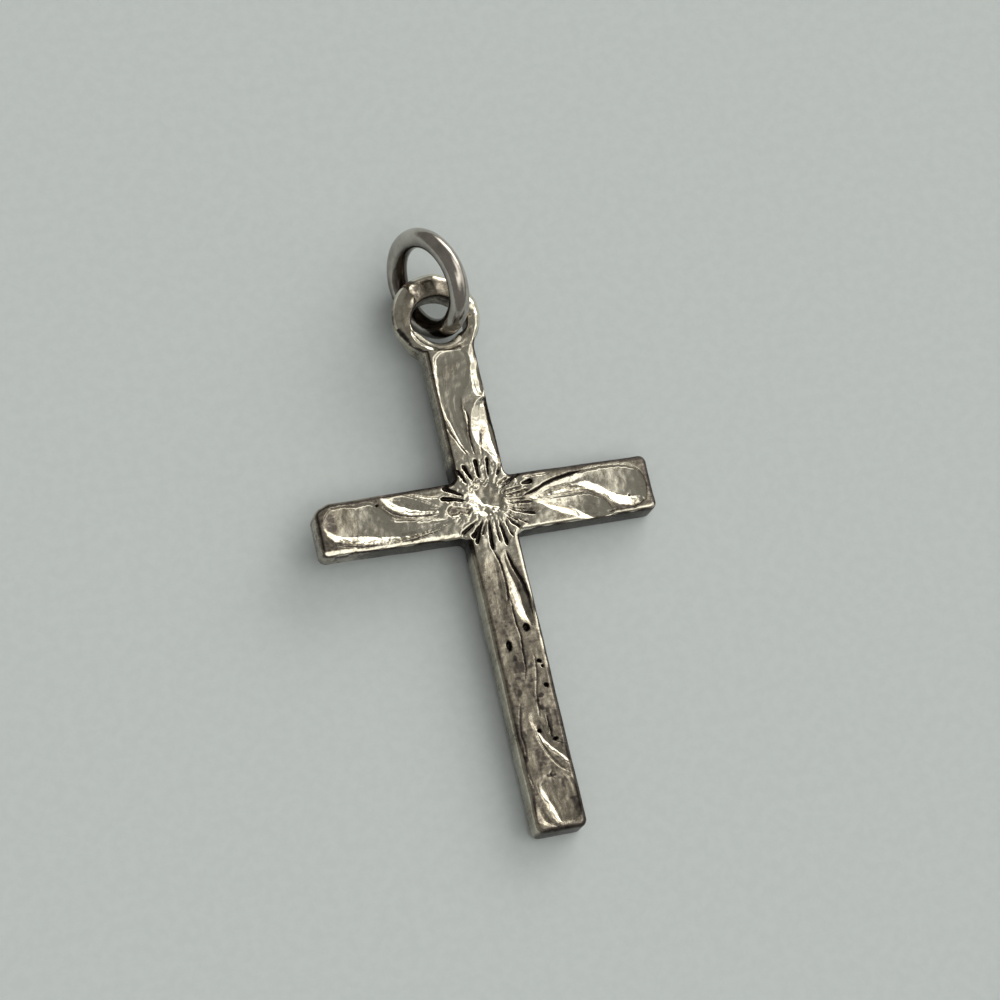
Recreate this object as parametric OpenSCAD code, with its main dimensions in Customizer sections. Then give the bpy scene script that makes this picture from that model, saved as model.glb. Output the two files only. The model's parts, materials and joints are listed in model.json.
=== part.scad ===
// Small cast silver cross pendant with bright-cut engraving and a jump ring, lying face up.
// Millimetres. X runs along the side arms, Y from foot to eye, Z up from the surface it lies on.
// The cross is drawn flat, its back on Z = 0 and its crossing on the origin, and is then posed.

/* [Arms] */
// Length of each side arm from the middle of the crossing
side_l = 7.1; // [5:0.1:10]
// Length of the lower arm from the middle of the crossing
foot_l = 13.6; // [10:0.1:18]
// Width of the right arm at the crossing
right_root_w = 2.46; // [1.8:0.02:3]
// Width of the right arm at its end
right_tip_w = 2.36; // [1.8:0.02:3]
// Width of the left arm at the crossing
left_root_w = 2.38; // [1.8:0.02:3]
// Width of the left arm at its end
left_tip_w = 2.22; // [1.8:0.02:3]
// Width of the upper arm
head_w = 2.14; // [1.6:0.02:2.8]
// Width of the lower arm at the crossing
lower_root_w = 2.11; // [1.6:0.02:2.8]
// Width of the lower arm at the foot
foot_w = 2.13; // [1.6:0.02:2.8]
// Thickness of the arms from back to face
thick = 1.15; // [0.9:0.05:2]
// Radius of the rounding along the edges of the face
face_edge_r = 0.2; // [0.05:0.01:0.35]
// Radius of the rounding along the edges of the back
back_edge_r = 0.12; // [0.05:0.01:0.25]
// Radius of the arms' corners in plan
corner_r = 0.32; // [0.25:0.01:0.6]
// Radius of the fillets in the four nooks of the crossing
nook_r = 0.28; // [0.1:0.01:0.6]

/* [Eye] */
// Distance from the middle of the crossing to the middle of the eye
eye_y = 8.2; // [7:0.1:11]
// How far the eye sits to the right of the long axis
eye_x = -0.14; // [-0.3:0.01:0.3]
// Diameter of the eye's hole
eye_hole_d = 2.3; // [2:0.05:3]
// Diameter of the eye's outer edge
eye_outer_d = 3.74; // [3.5:0.02:4]
// How far the middle of the outer edge lies above that of the hole, so that the band is thick on top
eye_outer_shift = 0.38; // [0.2:0.01:0.45]
// Radius of the rounding along the outer edge
eye_edge_r = 0.42; // [0.3:0.01:0.44]
// Radius of the rounding along the edge of the hole
hole_edge_r = 0.12; // [0.05:0.01:0.2]
// Height of the band, from its back to its top
eye_band_h = 0.9; // [0.7:0.01:1.4]
// How far the band's back lies above the back of the arms
eye_back_step = 0.12; // [0.02:0.01:0.3]

/* [Jump ring] */
// Diameter of the ring's wire
wire_d = 0.86; // [0.5:0.02:1]
// Diameter of the ring, from middle to middle of its wire
ring_mid_d = 3.9; // [3.85:0.05:5]
// Angle between the ring's plane and the surface
ring_lean = 70; // [60:1:80]
// Heading of the line in which the ring's plane meets the surface
ring_heading = -71; // [-80:1:-60]
// Heading from the eye's middle to the place where the wire passes under the band
under_heading = 121; // [110:1:135]
// How far outside the hole's edge that place lies
under_out = 0.35; // [0.3:0.01:0.45]
// Air left between the wire and the band that rests on it
ring_gap = 0.07; // [0.05:0.01:0.1]

/* [Engraving] */
// Radius of the dish in the middle of the sunburst
sun_r = 0.68; // [0.4:0.02:0.9]
// Depth of that dish
sun_depth = 0.08; // [0.03:0.01:0.2]
// How far the sunburst sits to the right of the crossing's middle
sun_x = 0.09; // [-0.2:0.01:0.2]
// How far the sunburst sits above the crossing's middle
sun_y = 0.3; // [-0.3:0.01:0.4]
// Number of rays cut around the dish
ray_count = 16; // [8:1:24]
// Radius at which the rays start
ray_start_r = 0.82; // [0.7:0.01:1]
// Radius at which the rays end
ray_end_r = 1.72; // [1.3:0.01:2]
// Width of a ray
ray_w = 0.22; // [0.22:0.01:0.28]
// Depth of a ray
ray_depth = 0.08; // [0.04:0.01:0.1]
// Depth of the deepest leaf cuts on the arms
leaf_depth = 0.14; // [0.05:0.01:0.25]
// Radius of the largest casting pit
pit_r = 0.13; // [0.05:0.01:0.2]

/* [Hidden] */
$fn = 96;

wire_r = wire_d / 2;
ring_mid_r = ring_mid_d / 2;
eye_hole_r = eye_hole_d / 2;
eye_outer_r = eye_outer_d / 2;
// The upper arm runs on beside the hole and ends on the band.
head_l = eye_y - eye_hole_r * 0.8;
over = 1; // how far cutters and slabs pass the metal
leaf_facet = 0.12; // length of a facet along a leaf cut, where a mesh is drawn

// Arms as [heading, length, width at the crossing, width at the end].
RIGHT = [0, side_l, right_root_w, right_tip_w];
UPPER = [90, head_l, head_w, head_w];
LEFT = [180, side_l, left_root_w, left_tip_w];
LOWER = [270, foot_l, lower_root_w, foot_w];

// Rest pose. The cross leans on three places: the foot's right corner and the right arm's lower
// corner touch the surface, and the band of the eye rests on the ring's wire.
under_r = eye_hole_r + under_out;
under_x = eye_x + under_r * cos(under_heading);
under_y = eye_y + under_r * sin(under_heading);
// Roll for each unit of pitch that brings both corners to the same height
roll_share = (foot_l - right_tip_w / 2) / (side_l - foot_w / 2);
// Height of the crossing's back for each unit of pitch
lift_share = (foot_l - corner_r) + roll_share * (foot_w / 2 - corner_r)
    + (corner_r - back_edge_r / 2) * sqrt(1 + roll_share * roll_share);
head_rise = wire_d + ring_gap - eye_back_step;
pitch_tan = head_rise / (lift_share + under_y - roll_share * under_x);
pitch = atan(pitch_tan);
roll = atan(roll_share * pitch_tan);
lift = lift_share * pitch_tan;

// A point of the flat cross in the rest pose
function posed(p) =
    let (y1 = p[1] * cos(pitch) - p[2] * sin(pitch), z1 = p[1] * sin(pitch) + p[2] * cos(pitch))
    [p[0] * cos(roll) + z1 * sin(roll), y1, lift - p[0] * sin(roll) + z1 * cos(roll)];

// Middle of the ring: up its plane from the lowest point of its wire
under = posed([under_x, under_y, 0]);
ring_mid = [
    under[0] - ring_mid_r * cos(ring_lean) * sin(ring_heading),
    under[1] + ring_mid_r * cos(ring_lean) * cos(ring_heading),
    wire_r + ring_mid_r * sin(ring_lean)
];

// The origin is below the middle of everything, on the surface.
foot_y = posed([0, -foot_l, thick - face_edge_r])[1];
ring_far = ring_mid_r * sqrt(1 - pow(sin(ring_lean) * cos(ring_heading), 2)) + wire_r;
eye_far = posed([eye_x, eye_y + eye_outer_shift, 0])[1] + eye_outer_r;
middle_y = (foot_y + max(eye_far, ring_mid[1] + ring_far)) / 2;
middle_x = posed([0, 0, thick / 2])[0];

// Leaf cuts: along and across are the place of the cut's middle, as shares of the arm's length and
// half width. Length and width are shares of the arm's length and width, depth of leaf_depth.
// Columns: along, across, turn, length, width, depth
RIGHT_CUTS = [
    [0.68, 0.28, -7, 0.60, 0.46, 1.0],   // broad leaf that ends round
    [0.50, -0.42, -15, 0.46, 0.28, 0.8], // second leaf below it
    [0.42, 0.52, 13, 0.32, 0.08, 0.6]    // sharp line above the first
];
UPPER_CUTS = [
    [0.66, 0.12, -3, 0.60, 0.60, 0.9],   // dull leaf below the eye
    [0.46, -0.46, 3, 0.38, 0.26, 0.8]    // bright leaf beside it
];
LEFT_CUTS = [
    [0.64, 0.14, -3, 0.64, 0.58, 1.0],   // broad leaf that ends round
    [0.43, -0.42, -20, 0.30, 0.22, 0.8]  // second leaf above it
];
LOWER_CUTS = [
    [0.26, 0.34, 9, 0.22, 0.26, 0.9],    // bright leaf below the crossing
    [0.48, -0.10, -1, 0.36, 0.46, 0.5],  // long shallow leaf in the middle
    [0.73, 0.34, 29, 0.17, 0.20, 0.9],   // curved bright line
    [0.88, 0.14, -8, 0.17, 0.56, 0.8]    // dull leaf at the foot
];
// Casting pits of the lower arm. Columns: along, across, radius as a share of pit_r
PITS = [
    [0.387, 0.40, 1.0], [0.435, -0.42, 0.9], [0.496, 0.62, 0.6], [0.510, 0.66, 0.5],
    [0.570, 0.63, 0.7], [0.703, 0.03, 0.7], [0.731, 0.54, 0.8], [0.779, -0.70, 0.6]
];

// ---- shapes ----

// Section of a plate beside its rounded long edge at x = 0, with the metal at x < 0
module edge_profile(wide) {
    difference() {
        translate([-wide, 0]) square([wide, thick]);
        translate([-face_edge_r, thick - face_edge_r]) difference() {
            square(face_edge_r + over);
            circle(face_edge_r);
        }
        translate([-back_edge_r, back_edge_r]) rotate(-90) difference() {
            square(back_edge_r + over);
            circle(back_edge_r);
        }
    }
}

// Plate along +X whose long edge at y = 0 is rounded, with the metal at y < 0
module slab(long, wide) {
    rotate([90, 0, 90]) linear_extrude(long) edge_profile(wide);
}

// Plan of an arm along +X, its end's corners round
module arm_plan(long, wide) {
    translate([-over, -wide / 2]) square([long + over - corner_r, wide]);
    translate([0, corner_r - wide / 2]) square([long, wide - 2 * corner_r]);
    for (side = [-1, 1])
        translate([long - corner_r, side * (wide / 2 - corner_r)]) circle(corner_r);
}

// One arm along +X from the crossing's middle, edges rounded on face and back
module arm(long, root_w, tip_w) {
    taper = atan((root_w - tip_w) / 2 / long);
    wide = max(root_w, tip_w) + 2 * over;
    intersection() {
        translate([0, root_w / 2, 0]) rotate(-taper)
            translate([-over, 0, 0]) slab(long + 3 * over, wide);
        mirror([0, 1, 0]) translate([0, root_w / 2, 0]) rotate(-taper)
            translate([-over, 0, 0]) slab(long + 3 * over, wide);
        translate([long, 0, 0]) rotate(-90) translate([-wide, 0, 0]) slab(2 * wide, long + over);
        linear_extrude(thick) arm_plan(long, tip_w);
    }
}

module arm_of(a) rotate(a[0]) arm(a[1], a[2], a[3]);

// Fillet in the nook between the arm that ends the turn and the one that starts it
module nook(x, y) {
    translate([x, y, 0]) linear_extrude(thick - face_edge_r) difference() {
        square([2 * nook_r, 2 * nook_r], center = true);
        translate([sign(x) * nook_r, sign(y) * nook_r]) circle(nook_r);
        translate([sign(x) * nook_r * 1.5, 0]) square([nook_r, 9 * nook_r], center = true);
        translate([0, sign(y) * nook_r * 1.5]) square([9 * nook_r, nook_r], center = true);
    }
}

// Round plate of the eye before its hole is made, its edge round
module eye_plate() {
    translate([eye_x, eye_y + eye_outer_shift, eye_back_step]) rotate_extrude() {
        square([eye_outer_r - eye_edge_r, eye_band_h]);
        translate([0, eye_edge_r]) square([eye_outer_r, eye_band_h - 2 * eye_edge_r]);
        for (z = [eye_edge_r, eye_band_h - eye_edge_r])
            translate([eye_outer_r - eye_edge_r, z]) circle(eye_edge_r);
    }
}

// Corner that rounds an edge of the hole: its metal lies beyond x = 0 and below y = 0
module hole_edge() {
    difference() {
        translate([-over / 2, -hole_edge_r]) square([over / 2 + hole_edge_r, hole_edge_r + over / 4]);
        translate([hole_edge_r, -hole_edge_r]) circle(hole_edge_r);
    }
}

// Cutter for the eye's hole, which rounds both edges of the hole
module eye_hole() {
    translate([eye_x, eye_y, 0]) rotate_extrude() {
        translate([0, -over]) square([eye_hole_r, thick + 2 * over]);
        translate([eye_hole_r, eye_back_step + eye_band_h]) hole_edge();
        translate([eye_hole_r, eye_back_step]) mirror([0, 1]) hole_edge();
    }
}

// Barrel-shaped cutter lying along X on the face: it cuts a leaf of this length, width and depth
module leaf_cutter(long, wide, deep) {
    girth = (wide * wide / 4 + deep * deep) / (2 * deep);
    bow = (long * long / 4 + deep * deep) / (2 * deep);
    translate([0, 0, girth - deep]) rotate([0, 90, 0]) rotate_extrude() intersection() {
        translate([girth - bow, 0]) circle(bow, $fn = ceil(bow / leaf_facet) * 6);
        translate([0, -long * 0.6]) square([girth + over, long * 1.2]);
    }
}

module leaf_cuts(a, cuts) {
    rotate(a[0]) for (c = cuts)
        translate([c[0] * a[1], c[1] * a[3] / 2, thick]) rotate(c[2])
            leaf_cutter(c[3] * a[1], c[4] * a[3], c[5] * leaf_depth);
}

module sunburst() {
    dish_r = (sun_r * sun_r + sun_depth * sun_depth) / (2 * sun_depth);
    translate([sun_x, sun_y, thick]) {
        translate([0, 0, dish_r - sun_depth]) sphere(dish_r);
        for (i = [0 : ray_count - 1]) rotate((i + 0.45) * 360 / ray_count)
            translate([(ray_start_r + ray_end_r) / 2, 0, 0])
                leaf_cutter(ray_end_r - ray_start_r, ray_w, ray_depth);
    }
}

module pits() {
    rotate(LOWER[0]) for (p = PITS)
        translate([p[0] * foot_l, p[1] * foot_w / 2, thick]) sphere(p[2] * pit_r);
}

// ---- sub-parts ----

module cross_flat() {
    difference() {
        union() {
            for (a = [RIGHT, UPPER, LEFT, LOWER]) arm_of(a);
            nook(head_w / 2, right_root_w / 2);
            nook(-head_w / 2, left_root_w / 2);
            nook(-lower_root_w / 2, -left_root_w / 2);
            nook(lower_root_w / 2, -right_root_w / 2);
            eye_plate();
        }
        eye_hole();
        sunburst();
        leaf_cuts(RIGHT, RIGHT_CUTS);
        leaf_cuts(UPPER, UPPER_CUTS);
        leaf_cuts(LEFT, LEFT_CUTS);
        leaf_cuts(LOWER, LOWER_CUTS);
        pits();
    }
}

// Cast body: arms, eye and engraving in one piece of metal
module cross() {
    color([0.62, 0.59, 0.54])
        translate([-middle_x, -middle_y, lift]) rotate([pitch, roll, 0]) cross_flat();
}

// Closed ring of round wire, standing in the eye
module jump_ring() {
    color([0.50, 0.47, 0.44])
        translate([ring_mid[0] - middle_x, ring_mid[1] - middle_y, ring_mid[2]])
            rotate([ring_lean, 0, ring_heading])
                rotate_extrude() translate([ring_mid_r, 0]) circle(wire_r);
}

cross();
jump_ring();
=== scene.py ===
import json
from math import asin, atan2, cos, degrees, pi, radians, sin, sqrt

import bmesh
import bpy
import numpy as np
from mathutils import Matrix, Vector, noise


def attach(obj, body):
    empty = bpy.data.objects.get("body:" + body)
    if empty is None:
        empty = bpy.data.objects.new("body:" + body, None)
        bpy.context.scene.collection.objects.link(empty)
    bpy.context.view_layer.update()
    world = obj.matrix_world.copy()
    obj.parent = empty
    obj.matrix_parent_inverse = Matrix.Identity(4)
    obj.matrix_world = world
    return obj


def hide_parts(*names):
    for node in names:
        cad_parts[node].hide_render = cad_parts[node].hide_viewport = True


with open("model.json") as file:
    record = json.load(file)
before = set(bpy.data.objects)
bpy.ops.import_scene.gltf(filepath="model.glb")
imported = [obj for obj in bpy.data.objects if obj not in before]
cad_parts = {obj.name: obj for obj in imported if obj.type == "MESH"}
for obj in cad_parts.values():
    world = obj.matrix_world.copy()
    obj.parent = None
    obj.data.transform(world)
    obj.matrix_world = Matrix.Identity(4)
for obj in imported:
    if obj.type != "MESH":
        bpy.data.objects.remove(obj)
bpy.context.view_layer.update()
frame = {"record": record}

MM = 0.001

# ---------------------------------------------------------------- sizes, in millimetres

# The cross is made flat, its back on z = 0 and its crossing on the origin, and then posed.
SIDE_L, FOOT_L = 7.1, 13.6
RIGHT_ROOT_W, RIGHT_TIP_W = 2.46, 2.36
LEFT_ROOT_W, LEFT_TIP_W = 2.38, 2.22
HEAD_W, LOWER_ROOT_W, FOOT_W = 2.14, 2.11, 2.13
THICK = 1.15
FACE_EDGE_R, BACK_EDGE_R = 0.20, 0.12
CORNER_R, NOOK_R = 0.32, 0.28
LEFT_SHOULDER_R, RIGHT_SHOULDER_R = 0.30, 1.00

# The eye's hole, and the larger round about it, whose middle lies further up
EYE = Vector((-0.14, 8.2))
HOLE_R, HOLE_EDGE_R = 1.15, 0.12
EYE_SHIFT, EYE_OUTER_R, EYE_EDGE_R = 0.38, 1.87, 0.42
EYE_MID = EYE + Vector((0, EYE_SHIFT))
EYE_BACK, EYE_TOP = 0.12, 1.02
LIP, LIP_FALL = 0.28, 0.38  # how far the hole's lower rim reaches inward, and how far that part falls

WIRE_R, RING_R = 0.43, 1.95

# Half widths of the face inside the rounding of its edges, at the root and the tip; the upper arm's is even
HALF_RIGHT = (RIGHT_ROOT_W / 2 - FACE_EDGE_R, RIGHT_TIP_W / 2 - FACE_EDGE_R)
HALF_LEFT = (LEFT_ROOT_W / 2 - FACE_EDGE_R, LEFT_TIP_W / 2 - FACE_EDGE_R)
HALF_HEAD = HEAD_W / 2 - FACE_EDGE_R
HALF_LOWER = (LOWER_ROOT_W / 2 - FACE_EDGE_R, FOOT_W / 2 - FACE_EDGE_R)

FACE_CELL = 0.032  # length of a face on the engraved side
MERGE = FACE_CELL / 14  # points of two patches that lie closer than this are one
EYE_CELLS = 12  # faces across the eye's top
TURN_STEPS = 5  # steps in a quarter turn over an edge; a side has as many again below it
WIRE_FACES, RING_FACES = 64, 220  # round the ring's wire and round the ring

MOUNTS = {mount["name"]: mount for mount in frame["record"]["mounts"]}


def rest_pose():
    """Turn and lift that lay the flat cross where the frame has it, in millimetres."""
    out = MOUNTS["back"]["axis"]
    pitch = asin(out[1])
    roll = atan2(-out[0], -out[2])
    place = Vector(MOUNTS["back"]["pos_m"]) / MM
    return Matrix.Translation(place) @ Matrix.Rotation(roll, 4, "Y") @ Matrix.Rotation(pitch, 4, "X")


def blend(a, b, t):
    return a + (b - a) * t


def smooth(low, high, value):
    """0 at low, 1 at high, and smooth between."""
    t = np.clip((value - low) / (high - low), 0, 1)
    return t * t * (3 - 2 * t)


# ---------------------------------------------------------------- engraving

# Leaf cuts of each arm. Along is the distance from the crossing. The cut's steep wall stands at wall, and its
# ramp comes up to the next land at ridge, both measured across the arm: y on the side arms, x on the long ones.
# Columns: along, wall, wall width, ridge, ramp width, depth
RIGHT_LEAVES = [
    [(1.70, 0.25, 0.06, 0.10, 0.05, 0.00), (2.10, 0.33, 0.07, -0.02, 0.12, 0.06),
     (2.50, 0.51, 0.08, 0.02, 0.25, 0.10), (3.10, 0.72, 0.09, 0.06, 0.42, 0.14),
     (3.65, 0.85, 0.10, 0.07, 0.46, 0.17), (4.20, 0.91, 0.12, 0.06, 0.50, 0.18),
     (4.80, 0.97, 0.14, -0.22, 0.50, 0.18), (5.30, 0.98, 0.14, -0.66, 0.56, 0.18),
     (5.80, 0.95, 0.14, -0.86, 0.54, 0.18), (6.25, 0.84, 0.14, -0.90, 0.46, 0.16),
     (6.55, 0.66, 0.14, -0.78, 0.40, 0.13), (6.76, 0.38, 0.12, -0.55, 0.30, 0.08),
     (6.86, 0.00, 0.08, -0.10, 0.08, 0.00)],
    [(1.95, -0.06, 0.05, -0.14, 0.06, 0.00), (2.30, -0.05, 0.06, -0.30, 0.20, 0.06),
     (2.70, -0.03, 0.08, -0.58, 0.36, 0.11), (3.15, -0.02, 0.09, -0.84, 0.46, 0.16),
     (3.60, -0.02, 0.09, -1.06, 0.48, 0.18), (4.00, -0.02, 0.09, -1.30, 0.42, 0.18),
     (4.50, -0.14, 0.10, -1.45, 0.34, 0.15), (4.90, -0.42, 0.12, -1.45, 0.30, 0.12),
     (5.15, -0.78, 0.12, -1.45, 0.30, 0.08), (5.30, -1.10, 0.10, -1.45, 0.30, 0.00)],
]
LEFT_LEAVES = [
    [(1.45, -0.30, 0.08, -0.42, 0.06, 0.00), (2.05, -0.22, 0.10, -0.62, 0.12, 0.07),
     (2.90, -0.14, 0.12, -0.82, 0.16, 0.11), (3.50, 0.00, 0.16, -0.91, 0.22, 0.14),
     (4.00, 0.22, 0.26, -0.94, 0.32, 0.18), (4.32, 0.60, 0.26, -0.95, 0.38, 0.19),
     (4.60, 0.84, 0.17, -0.94, 0.42, 0.19), (5.40, 0.92, 0.18, -0.83, 0.46, 0.19),
     (6.10, 0.95, 0.17, -0.66, 0.34, 0.16), (6.50, 0.82, 0.14, -0.50, 0.40, 0.10),
     (6.72, 0.50, 0.14, -0.25, 0.30, 0.04), (6.82, 0.15, 0.10, 0.10, 0.10, 0.00)],
    [(1.75, 0.24, 0.06, 0.12, 0.06, 0.00), (2.00, 0.33, 0.10, 0.02, 0.12, 0.06),
     (2.50, 0.66, 0.12, 0.00, 0.22, 0.11), (2.85, 0.84, 0.12, 0.03, 0.28, 0.14),
     (3.25, 1.02, 0.10, 0.10, 0.34, 0.15), (3.60, 1.06, 0.08, 0.24, 0.40, 0.15),
     (3.90, 1.09, 0.08, 0.45, 0.42, 0.13), (4.15, 1.10, 0.06, 0.72, 0.34, 0.08),
     (4.30, 1.10, 0.05, 0.98, 0.10, 0.00)],
]
UPPER_LEAVES = [
    [(2.20, -0.02, 0.05, -0.24, 0.05, 0.00), (2.60, -0.04, 0.10, -0.46, 0.08, 0.04),
     (3.10, -0.05, 0.12, -0.64, 0.09, 0.05), (3.60, -0.02, 0.14, -0.76, 0.10, 0.06),
     (4.10, -0.04, 0.16, -0.90, 0.11, 0.07), (4.50, 0.02, 0.18, -0.98, 0.12, 0.07),
     (4.95, 0.18, 0.22, -0.98, 0.11, 0.06), (5.40, 0.50, 0.24, -0.96, 0.14, 0.05),
     (5.80, 0.62, 0.16, -0.92, 0.16, 0.05), (6.20, 0.70, 0.12, -0.88, 0.16, 0.06),
     (6.50, 0.70, 0.10, -0.80, 0.12, 0.07), (6.68, 0.64, 0.08, -0.66, 0.10, 0.07),
     (6.82, 0.52, 0.08, -0.46, 0.10, 0.05), (6.90, 0.34, 0.05, -0.20, 0.05, 0.00)],
    [(1.55, 1.00, 0.05, 0.80, 0.10, 0.00), (2.10, 1.05, 0.05, 0.66, 0.36, 0.14),
     (2.70, 1.08, 0.05, 0.20, 0.80, 0.27), (3.30, 1.10, 0.05, 0.12, 0.90, 0.31),
     (3.90, 1.12, 0.05, 0.24, 0.80, 0.29), (4.25, 1.12, 0.05, 0.42, 0.62, 0.26),
     (4.56, 1.12, 0.05, 0.70, 0.36, 0.22), (4.68, 1.12, 0.05, 0.92, 0.12, 0.00)],
    [(4.70, 1.05, 0.05, 0.66, 0.20, 0.00), (4.85, 1.08, 0.05, 0.60, 0.30, 0.11),
     (5.50, 1.08, 0.05, 0.62, 0.30, 0.12), (6.20, 1.08, 0.05, 0.74, 0.24, 0.09),
     (6.80, 1.10, 0.05, 0.80, 0.22, 0.08), (7.10, 1.15, 0.05, 0.95, 0.20, 0.00)],
]
LOWER_LEAVES = [
    [(1.95, 0.32, 0.05, 0.22, 0.05, 0.00), (2.40, 0.43, 0.07, 0.04, 0.18, 0.05),
     (3.10, 0.66, 0.09, 0.06, 0.30, 0.10), (3.75, 0.79, 0.10, 0.10, 0.40, 0.14),
     (4.35, 0.87, 0.10, 0.16, 0.40, 0.14), (4.85, 0.90, 0.09, 0.30, 0.34, 0.08),
     (5.25, 0.92, 0.06, 0.50, 0.20, 0.00)],
    [(1.95, -0.10, 0.04, -0.40, 0.20, 0.00), (2.30, -0.02, 0.06, -0.60, 0.40, 0.02),
     (3.00, 0.03, 0.07, -0.72, 0.50, 0.03), (3.60, 0.02, 0.07, -0.78, 0.50, 0.03),
     (4.20, -0.08, 0.06, -0.76, 0.40, 0.02), (4.90, -0.30, 0.05, -0.70, 0.30, 0.00)],
    [(8.75, -0.15, 0.05, -0.28, 0.05, 0.00), (9.10, 0.36, 0.10, -0.33, 0.14, 0.05),
     (9.60, 0.50, 0.12, -0.19, 0.18, 0.08), (10.00, 0.62, 0.14, -0.03, 0.22, 0.10),
     (10.30, 1.10, 0.10, 0.17, 0.26, 0.11), (10.60, 1.25, 0.10, 0.45, 0.28, 0.11),
     (10.90, 1.35, 0.10, 0.70, 0.26, 0.10), (11.15, 1.40, 0.10, 0.98, 0.20, 0.00)],
    [(11.30, 0.60, 0.14, -0.50, 0.30, 0.00), (11.65, 0.90, 0.14, -0.63, 0.20, 0.08),
     (12.00, 1.02, 0.12, -0.62, 0.27, 0.11), (12.40, 1.02, 0.12, -0.50, 0.29, 0.12),
     (12.80, 0.97, 0.12, -0.36, 0.29, 0.12), (13.10, 0.86, 0.12, -0.25, 0.25, 0.10),
     (13.30, 0.65, 0.10, -0.08, 0.16, 0.05), (13.40, 0.35, 0.05, 0.15, 0.05, 0.00)],
    [(12.55, -0.68, 0.06, -0.84, 0.08, 0.00), (12.85, -0.54, 0.08, -0.94, 0.26, 0.05),
     (13.08, -0.42, 0.08, -0.96, 0.34, 0.07), (13.24, -0.28, 0.08, -0.74, 0.34, 0.07),
     (13.36, -0.10, 0.08, -0.52, 0.30, 0.06), (13.44, 0.00, 0.05, -0.30, 0.10, 0.00)],
]

# Graver lines: width, depth, how dirty, and the places along and across that each passes through. A line with
# a depth below 0 is a raised burr, polished clean.
RIGHT_LINES = [
    (0.17, 0.10, 1.5, [(1.52, 0.16), (1.79, 0.26), (2.10, 0.34), (2.47, 0.50), (3.12, 0.71), (3.63, 0.82),
                       (4.30, 0.89)]),
    (0.12, 0.04, 0.3, [(2.20, 0.10), (3.00, 0.26), (3.70, 0.29), (4.30, 0.12)]),
    (0.10, 0.04, 0.1, [(2.00, -0.02), (2.80, -0.02), (3.37, 0.00), (4.18, 0.00), (4.60, -0.16)]),
    (0.09, 0.03, 0.5, [(2.30, -0.20), (2.80, -0.36), (3.30, -0.52), (3.75, -0.78)]),
    (0.09, 0.05, 1.1, [(4.95, -0.98), (5.60, -1.00), (6.30, -0.92), (6.70, -0.72)]),
    (0.10, 0.04, 0.6, [(1.75, 0.98), (2.30, 0.96), (2.90, 0.98)]),
    (0.12, -0.03, 0.0, [(4.22, 0.94), (5.10, 1.00), (5.80, 0.96), (6.29, 0.86), (6.60, 0.68), (6.80, 0.42),
                        (6.90, 0.12)]),
]
LEFT_LINES = [
    (0.11, 0.06, 1.0, [(2.20, -0.04), (2.83, 0.00), (3.29, 0.06), (3.72, 0.21), (4.05, 0.42), (4.24, 0.74),
                       (4.28, 0.98)]),
    (0.10, 0.04, 0.2, [(2.00, -0.13), (2.60, -0.12), (3.20, -0.16), (3.60, -0.06)]),
    (0.10, 0.04, 0.3, [(1.70, 0.66), (2.21, 0.68), (2.70, 0.84), (3.20, 0.98)]),
    (0.10, 0.05, 1.0, [(2.00, -0.68), (2.70, -0.84), (3.30, -0.94), (4.20, -1.00), (5.20, -0.93),
                       (6.10, -0.78), (6.70, -0.60)]),
]
UPPER_LINES = [
    (0.10, 0.05, 0.8, [(2.25, -0.32), (2.66, -0.50), (3.26, -0.77), (3.70, -0.92)]),
    (0.11, 0.06, 1.1, [(2.20, 0.00), (3.05, -0.03), (3.60, 0.04), (3.95, 0.10), (4.30, 0.00)]),
    (0.10, 0.05, 0.4, [(2.15, 0.30), (2.60, 0.34), (3.00, 0.44), (3.30, 0.48)]),
]
LOWER_LINES = [
    (0.18, 0.10, 1.6, [(1.95, 0.34), (2.54, 0.47), (3.15, 0.67), (3.74, 0.80), (4.33, 0.88), (5.00, 0.89)]),
    (0.13, 0.05, 1.3, [(1.85, -0.20), (2.33, -0.02), (2.96, 0.04), (3.58, 0.03), (4.20, -0.08)]),
    (0.08, 0.04, 1.3, [(4.00, 0.07), (5.04, 0.09), (5.53, 0.13), (6.26, 0.07), (6.87, 0.03), (7.40, -0.12)]),
    (0.10, 0.03, 0.8, [(8.30, -0.55), (9.00, -0.70), (9.60, -0.80), (10.10, -0.74), (10.70, -0.86)]),
    (0.08, 0.03, 0.8, [(3.30, -0.93), (4.60, -0.90), (6.20, -0.94), (8.00, -0.90), (10.00, -0.89),
                       (11.26, -0.84), (12.16, -0.70)]),
    (0.15, 0.06, 0.0, [(9.50, -0.17), (10.35, 0.07), (10.88, 0.34), (11.23, 0.65), (11.48, 1.00)]),
    (0.07, 0.05, 1.2, [(8.95, 0.40), (9.49, 0.45), (9.95, 0.60), (10.12, 0.95)]),
    (0.07, 0.03, 0.9, [(6.30, 0.50), (7.20, 0.42), (8.10, 0.22), (9.10, 0.12)]),
    (0.07, 0.03, 0.9, [(11.15, 0.10), (11.36, 0.02), (11.52, 0.20)]),
]

SUN = (0.06, 0.34)
SUN_R, SUN_DEPTH = 0.76, 0.15
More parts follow.
